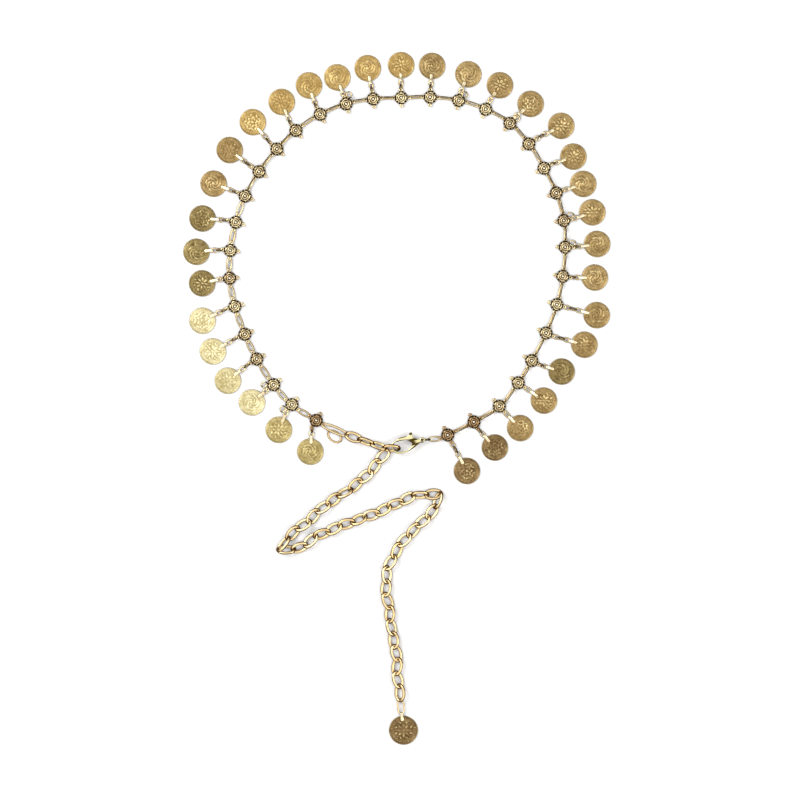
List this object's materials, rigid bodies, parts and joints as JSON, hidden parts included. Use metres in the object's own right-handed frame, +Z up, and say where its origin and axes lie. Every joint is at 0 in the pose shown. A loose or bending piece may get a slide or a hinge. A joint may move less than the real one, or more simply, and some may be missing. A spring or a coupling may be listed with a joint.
{
  "type": "coin chain belt",
  "caption": "Metal waist chain of cast rosettes with a coin hanging from each, a lobster clasp and an adjuster chain that ends in a larger coin.",
  "frame": {"origin": "on the ground, below the middle of the laid-out belt's outline", "axes": "+Y from the end coin towards the far side of the waist loop, +Z up off the surface it lies on"},
  "size_m": [0.2816, 0.457, 0.0075],
  "materials": {
    "antique_gold": "antique gold plate with dark recesses",
    "coin_gold": "worn antique gold plate",
    "champagne_gold": "pale polished gold plate",
    "bright_gold": "bright polished gold plate"
  },
  "bodies": {
    "belt": {"rosettes_01": "antique_gold", "rosettes_02": "antique_gold", "rosettes_03": "antique_gold", "rosettes_04": "antique_gold", "rosettes_05": "antique_gold", "rosettes_06": "antique_gold", "rosettes_07": "antique_gold", "rosettes_08": "antique_gold", "rosettes_09": "antique_gold", "rosettes_10": "antique_gold", "rosettes_11": "antique_gold", "rosettes_12": "antique_gold", "rosettes_13": "antique_gold", "rosettes_14": "antique_gold", "rosettes_15": "antique_gold", "rosettes_16": "antique_gold", "rosettes_17": "antique_gold", "jump_ring": "champagne_gold", "chain_to_clasp": "champagne_gold", "clasp_body": "bright_gold", "clasp_gate": "bright_gold", "chain_tail_upper": "champagne_gold", "chain_tail_middle": "champagne_gold", "chain_tail_lower": "champagne_gold", "chain_tail_end": "champagne_gold"},
    "coin_01_body": {"coin_01": "coin_gold"},
    "coin_02_body": {"coin_02": "coin_gold"},
    "coin_03_body": {"coin_03": "coin_gold"},
    "coin_04_body": {"coin_04": "coin_gold"},
    "coin_05_body": {"coin_05": "coin_gold"},
    "coin_06_body": {"coin_06": "coin_gold"},
    "coin_07_body": {"coin_07": "coin_gold"},
    "coin_08_body": {"coin_08": "coin_gold"},
    "coin_09_body": {"coin_09": "coin_gold"},
    "coin_10_body": {"coin_10": "coin_gold"},
    "coin_11_body": {"coin_11": "coin_gold"},
    "coin_12_body": {"coin_12": "coin_gold"},
    "coin_13_body": {"coin_13": "coin_gold"},
    "coin_14_body": {"coin_14": "coin_gold"},
    "coin_15_body": {"coin_15": "coin_gold"},
    "coin_16_body": {"coin_16": "coin_gold"},
    "coin_17_body": {"coin_17": "coin_gold"},
    "coin_18_body": {"coin_18": "coin_gold"},
    "coin_19_body": {"coin_19": "coin_gold"},
    "coin_20_body": {"coin_20": "coin_gold"},
    "coin_21_body": {"coin_21": "coin_gold"},
    "coin_22_body": {"coin_22": "coin_gold"},
    "coin_23_body": {"coin_23": "coin_gold"},
    "coin_24_body": {"coin_24": "coin_gold"},
    "coin_25_body": {"coin_25": "coin_gold"},
    "coin_26_body": {"coin_26": "coin_gold"},
    "coin_27_body": {"coin_27": "coin_gold"},
    "coin_28_body": {"coin_28": "coin_gold"},
    "coin_29_body": {"coin_29": "coin_gold"},
    "coin_30_body": {"coin_30": "coin_gold"},
    "coin_31_body": {"coin_31": "coin_gold"},
    "coin_32_body": {"coin_32": "coin_gold"},
    "coin_33_body": {"coin_33": "coin_gold"},
    "coin_34_body": {"coin_34": "coin_gold"},
    "end_coin_body": {"end_coin": "coin_gold"}
  },
  "joints": [
    {"name": "coin_01_swing", "type": "hinge", "parent": "belt", "child": "coin_01_body", "pos_m": [-0.05635, -0.02508, 0.0016], "axis": [-0.9975, 0.0702, 0], "range_deg": [0, 90]},
    {"name": "coin_02_swing", "type": "hinge", "parent": "belt", "child": "coin_02_body", "pos_m": [-0.07382, -0.01144, 0.0016], "axis": [-0.9203, 0.3912, 0], "range_deg": [0, 90]},
    {"name": "coin_03_swing", "type": "hinge", "parent": "belt", "child": "coin_03_body", "pos_m": [-0.08767, 0.00378, 0.0016], "axis": [-0.6377, 0.7702, 0], "range_deg": [0, 90]},
    {"name": "coin_04_swing", "type": "hinge", "parent": "belt", "child": "coin_04_body", "pos_m": [-0.10347, 0.01797, 0.0016], "axis": [-0.6256, 0.7801, 0], "range_deg": [0, 90]},
    {"name": "coin_05_swing", "type": "hinge", "parent": "belt", "child": "coin_05_body", "pos_m": [-0.11246, 0.03598, 0.0016], "axis": [-0.4937, 0.8697, 0], "range_deg": [0, 90]},
    {"name": "coin_06_swing", "type": "hinge", "parent": "belt", "child": "coin_06_body", "pos_m": [-0.11906, 0.05567, 0.0016], "axis": [-0.4417, 0.8972, 0], "range_deg": [0, 90]},
    {"name": "coin_07_swing", "type": "hinge", "parent": "belt", "child": "coin_07_body", "pos_m": [-0.11844, 0.07807, 0.0016], "axis": [-0.2183, 0.9759, 0], "range_deg": [0, 90]},
    {"name": "coin_08_swing", "type": "hinge", "parent": "belt", "child": "coin_08_body", "pos_m": [-0.12201, 0.0975, 0.0016], "axis": [-0.083, 0.9966, 0], "range_deg": [0, 90]},
    {"name": "coin_09_swing", "type": "hinge", "parent": "belt", "child": "coin_09_body", "pos_m": [-0.118, 0.1179, 0.0016], "axis": [0.073, 0.9973, 0], "range_deg": [0, 90]},
    {"name": "coin_10_swing", "type": "hinge", "parent": "belt", "child": "coin_10_body", "pos_m": [-0.11131, 0.13801, 0.0016], "axis": [0.3526, 0.9358, 0], "range_deg": [0, 90]},
    {"name": "coin_11_swing", "type": "hinge", "parent": "belt", "child": "coin_11_body", "pos_m": [-0.10211, 0.15765, 0.0016], "axis": [0.6017, 0.7987, 0], "range_deg": [0, 90]},
    {"name": "coin_12_swing", "type": "hinge", "parent": "belt", "child": "coin_12_body", "pos_m": [-0.08844, 0.17441, 0.0016], "axis": [0.7641, 0.6451, 0], "range_deg": [0, 90]},
    {"name": "coin_13_swing", "type": "hinge", "parent": "belt", "child": "coin_13_body", "pos_m": [-0.07199, 0.18611, 0.0016], "axis": [0.9227, 0.3855, 0], "range_deg": [0, 90]},
    {"name": "coin_14_swing", "type": "hinge", "parent": "belt", "child": "coin_14_body", "pos_m": [-0.05462, 0.19683, 0.0016], "axis": [0.9463, 0.3233, 0], "range_deg": [0, 90]},
    {"name": "coin_15_swing", "type": "hinge", "parent": "belt", "child": "coin_15_body", "pos_m": [-0.0359, 0.2021, 0.0016], "axis": [0.9449, 0.3273, 0], "range_deg": [0, 90]},
    {"name": "coin_16_swing", "type": "hinge", "parent": "belt", "child": "coin_16_body", "pos_m": [-0.01715, 0.20778, 0.0016], "axis": [0.9802, 0.1981, 0], "range_deg": [0, 90]},
    {"name": "coin_17_swing", "type": "hinge", "parent": "belt", "child": "coin_17_body", "pos_m": [0.00283, 0.20958, 0.0016], "axis": [1, -0.0033, 0], "range_deg": [0, 90]},
    {"name": "coin_18_swing", "type": "hinge", "parent": "belt", "child": "coin_18_body", "pos_m": [0.02269, 0.20909, 0.0016], "axis": [0.9979, -0.0649, 0], "range_deg": [0, 90]},
    {"name": "coin_19_swing", "type": "hinge", "parent": "belt", "child": "coin_19_body", "pos_m": [0.04321, 0.20441, 0.0016], "axis": [0.9188, -0.3947, 0], "range_deg": [0, 90]},
    {"name": "coin_20_swing", "type": "hinge", "parent": "belt", "child": "coin_20_body", "pos_m": [0.06253, 0.198, 0.0016], "axis": [0.838, -0.5457, 0], "range_deg": [0, 90]},
    {"name": "coin_21_swing", "type": "hinge", "parent": "belt", "child": "coin_21_body", "pos_m": [0.08053, 0.18762, 0.0016], "axis": [0.6465, -0.7629, 0], "range_deg": [0, 90]},
    {"name": "coin_22_swing", "type": "hinge", "parent": "belt", "child": "coin_22_body", "pos_m": [0.09945, 0.1751, 0.0016], "axis": [0.4577, -0.8891, 0], "range_deg": [0, 90]},
    {"name": "coin_23_swing", "type": "hinge", "parent": "belt", "child": "coin_23_body", "pos_m": [0.10691, 0.1561, 0.0016], "axis": [0.3276, -0.9448, 0], "range_deg": [0, 90]},
    {"name": "coin_24_swing", "type": "hinge", "parent": "belt", "child": "coin_24_body", "pos_m": [0.11334, 0.13832, 0.0016], "axis": [0.3056, -0.9522, 0], "range_deg": [0, 90]},
    {"name": "coin_25_swing", "type": "hinge", "parent": "belt", "child": "coin_25_body", "pos_m": [0.11938, 0.11947, 0.0016], "axis": [0.316, -0.9488, 0], "range_deg": [0, 90]},
    {"name": "coin_26_swing", "type": "hinge", "parent": "belt", "child": "coin_26_body", "pos_m": [0.12212, 0.10039, 0.0016], "axis": [0.1372, -0.9905, 0], "range_deg": [0, 90]},
    {"name": "coin_27_swing", "type": "hinge", "parent": "belt", "child": "coin_27_body", "pos_m": [0.1205, 0.07971, 0.0016], "axis": [-0.0047, -1, 0], "range_deg": [0, 90]},
    {"name": "coin_28_swing", "type": "hinge", "parent": "belt", "child": "coin_28_body", "pos_m": [0.12208, 0.05738, 0.0016], "axis": [-0.2489, -0.9685, 0], "range_deg": [0, 90]},
    {"name": "coin_29_swing", "type": "hinge", "parent": "belt", "child": "coin_29_body", "pos_m": [0.11398, 0.03801, 0.0016], "axis": [-0.2624, -0.965, 0], "range_deg": [0, 90]},
    {"name": "coin_30_swing", "type": "hinge", "parent": "belt", "child": "coin_30_body", "pos_m": [0.09904, 0.02063, 0.0016], "axis": [-0.2956, -0.9553, 0], "range_deg": [0, 90]},
    {"name": "coin_31_swing", "type": "hinge", "parent": "belt", "child": "coin_31_body", "pos_m": [0.08869, 0.00423, 0.0016], "axis": [-0.5655, -0.8248, 0], "range_deg": [0, 90]},
    {"name": "coin_32_swing", "type": "hinge", "parent": "belt", "child": "coin_32_body", "pos_m": [0.07434, -0.01239, 0.0016], "axis": [-0.7137, -0.7004, 0], "range_deg": [0, 90]},
    {"name": "coin_33_swing", "type": "hinge", "parent": "belt", "child": "coin_33_body", "pos_m": [0.05789, -0.02496, 0.0016], "axis": [-0.7408, -0.6717, 0], "range_deg": [0, 90]},
    {"name": "coin_34_swing", "type": "hinge", "parent": "belt", "child": "coin_34_body", "pos_m": [0.04146, -0.03899, 0.0016], "axis": [-0.8794, -0.4761, 0], "range_deg": [0, 90]},
    {"name": "end_coin_swing", "type": "hinge", "parent": "belt", "child": "end_coin_body", "pos_m": [0.00317, -0.20812, 0.0016], "axis": [-0.9932, -0.1167, 0], "range_deg": [0, 90]}
  ]
}
